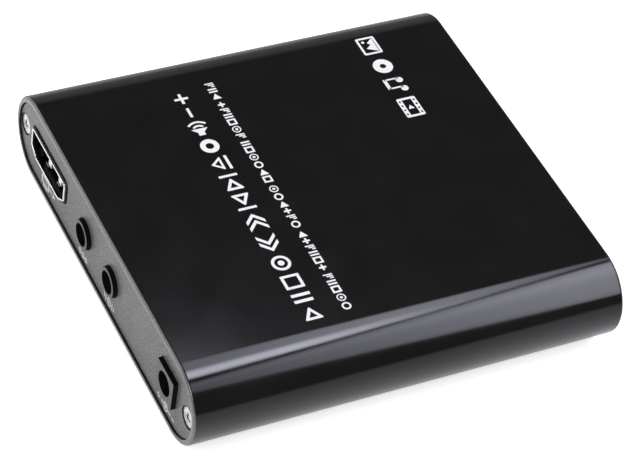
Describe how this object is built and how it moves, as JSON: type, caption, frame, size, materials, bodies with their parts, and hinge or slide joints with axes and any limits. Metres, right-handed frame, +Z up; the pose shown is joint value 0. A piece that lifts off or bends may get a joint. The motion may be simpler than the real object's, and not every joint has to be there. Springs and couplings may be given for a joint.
{
  "type": "media player",
  "caption": "Flat tube-shaped desktop media player with screwed end plates, sockets at both ends, a memory card slot and a cooled circuit board inside.",
  "frame": {"origin": "on the table under the middle of the housing", "axes": "+X to the right seen from the front, +Y to the rear plate with the HDMI socket, +Z up"},
  "size_m": [0.077, 0.0782, 0.0167],
  "materials": {
    "anodised": "gloss black anodised",
    "screw": "bright",
    "nickel": "nickel plated",
    "brass": "bright",
    "black_plastic": "satin",
    "white_plastic": "satin",
    "clear_plastic": "milky clear",
    "dark_window": "dark and clear to infrared",
    "rubber": "matte",
    "board": "solder mask",
    "chip": "matte moulded",
    "pad": "soft",
    "aluminium": "plain",
    "ferrite": "moulded ferrite"
  },
  "bodies": {
    "player": {"housing_tube": "anodised", "rear_panel": "anodised", "front_panel": "anodised", "rear_screw_left": "screw", "rear_screw_right": "screw", "front_screw_left": "screw", "front_screw_right": "screw", "foot_front_left": "rubber", "foot_front_right": "rubber", "foot_rear_left": "rubber", "foot_rear_right": "rubber", "main_board": "board", "hdmi_shell": "nickel", "hdmi_insulator": "black_plastic", "usb_shell": "nickel", "usb_insulator": "white_plastic", "av_jack_body": "black_plastic", "coax_jack_body": "black_plastic", "dc_socket_body": "black_plastic", "dc_socket_pin": "nickel", "sd_slot_base": "black_plastic", "sd_slot_cover": "nickel", "sd_carriage_spring": "nickel", "ir_window": "dark_window", "ir_receiver": "black_plastic", "status_led": "clear_plastic", "main_chip": "chip", "thermal_pad": "pad", "heat_sink": "aluminium", "memory_chip_rear": "chip", "memory_chip_front": "chip", "flash_chip": "chip", "audio_chip": "chip", "crystal": "nickel", "power_inductor_rear": "ferrite", "power_inductor_front": "ferrite", "voltage_regulator": "chip", "capacitor_rear": "aluminium", "capacitor_middle": "aluminium", "capacitor_front": "aluminium"},
    "card_carriage": {"sd_carriage": "white_plastic"},
    "av_contact": {"av_jack_leaf": "brass"},
    "coax_contact": {"coax_jack_leaf": "brass"},
    "dc_contact": {"dc_socket_leaf": "brass"}
  },
  "joints": [
    {"name": "card_carriage_slide", "type": "slide", "parent": "player", "child": "card_carriage", "axis": [0, 1, 0], "range_m": [0, 0.0042], "stiffness_N_per_m": 150, "springref_m": -0.002, "deforming": ["sd_carriage_spring"]},
    {"name": "av_contact_flex", "type": "hinge", "parent": "player", "child": "av_contact", "pos_m": [0.01015, 0.0265, 0.0084], "axis": [0, 0, -1], "range_deg": [0, 4.5], "stiffness_Nm_per_rad": 0.05, "springref_deg": -1.15},
    {"name": "coax_contact_flex", "type": "hinge", "parent": "player", "child": "coax_contact", "pos_m": [-0.00135, 0.0265, 0.0084], "axis": [0, 0, -1], "range_deg": [0, 4.5], "stiffness_Nm_per_rad": 0.05, "springref_deg": -1.15},
    {"name": "dc_contact_flex", "type": "hinge", "parent": "player", "child": "dc_contact", "pos_m": [-0.0251, 0.0295, 0.0091], "axis": [0, 0, -1], "range_deg": [0, 4.5], "stiffness_Nm_per_rad": 0.05, "springref_deg": -1.15}
  ]
}
